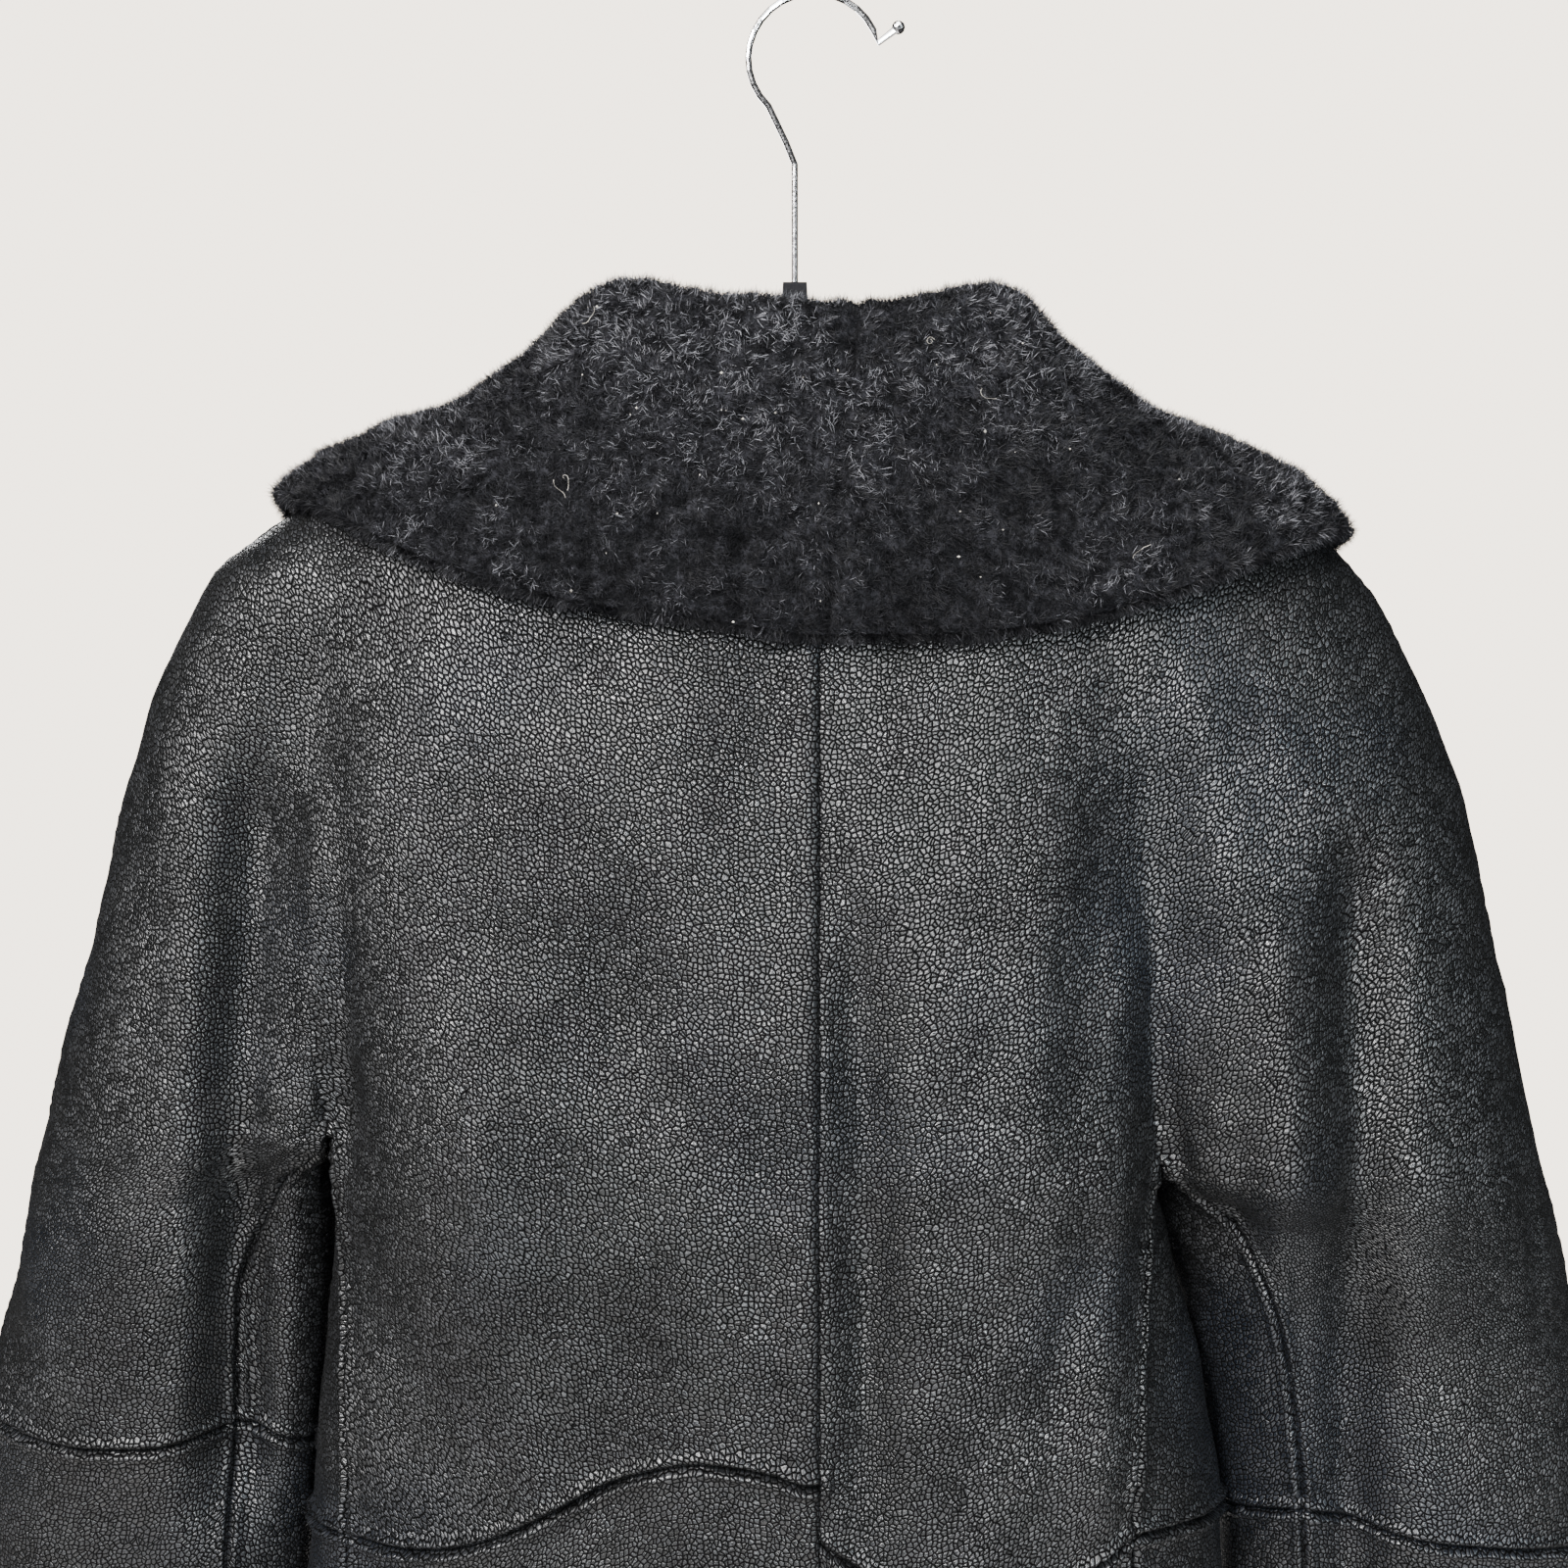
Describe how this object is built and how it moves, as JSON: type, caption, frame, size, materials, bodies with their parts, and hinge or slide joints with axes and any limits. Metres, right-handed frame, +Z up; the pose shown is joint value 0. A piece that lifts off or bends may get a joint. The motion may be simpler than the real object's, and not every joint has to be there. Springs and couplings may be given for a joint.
{
  "type": "shearling jacket on a hanger",
  "caption": "Short shearling jacket with dolman sleeves and a deep wool-side-out collar, hanging open on a plain hanger with a wire hook.",
  "frame": {"origin": "the inside top of the hook's bend, where the hanger is held", "axes": "+Z up along the hang, +Y out of the jacket's back, +X to the wearer's left"},
  "size_m": [0.7496, 0.1825, 0.8826],
  "materials": {
    "nappa": "semi-gloss pebble grain",
    "wool": "matte sheared wool",
    "hanger": "satin",
    "hook": "polished"
  },
  "bodies": {
    "root": {"back_left": "nappa", "back_right": "nappa", "front_left": "nappa", "front_right": "nappa", "lower_back_left": "nappa", "lower_back_right": "nappa", "lower_front_left": "nappa", "lower_front_right": "nappa", "forearm_back_left": "nappa", "forearm_back_right": "nappa", "forearm_front_left": "nappa", "forearm_front_right": "nappa", "side_left": "nappa", "side_right": "nappa", "lower_side_left": "nappa", "lower_side_right": "nappa", "undersleeve_left": "nappa", "undersleeve_right": "nappa", "forearm_under_left": "nappa", "forearm_under_right": "nappa", "collar_left": "wool", "collar_right": "wool", "hanger_body": "hanger", "hanger_hook": "hook"}
  },
  "joints": []
}
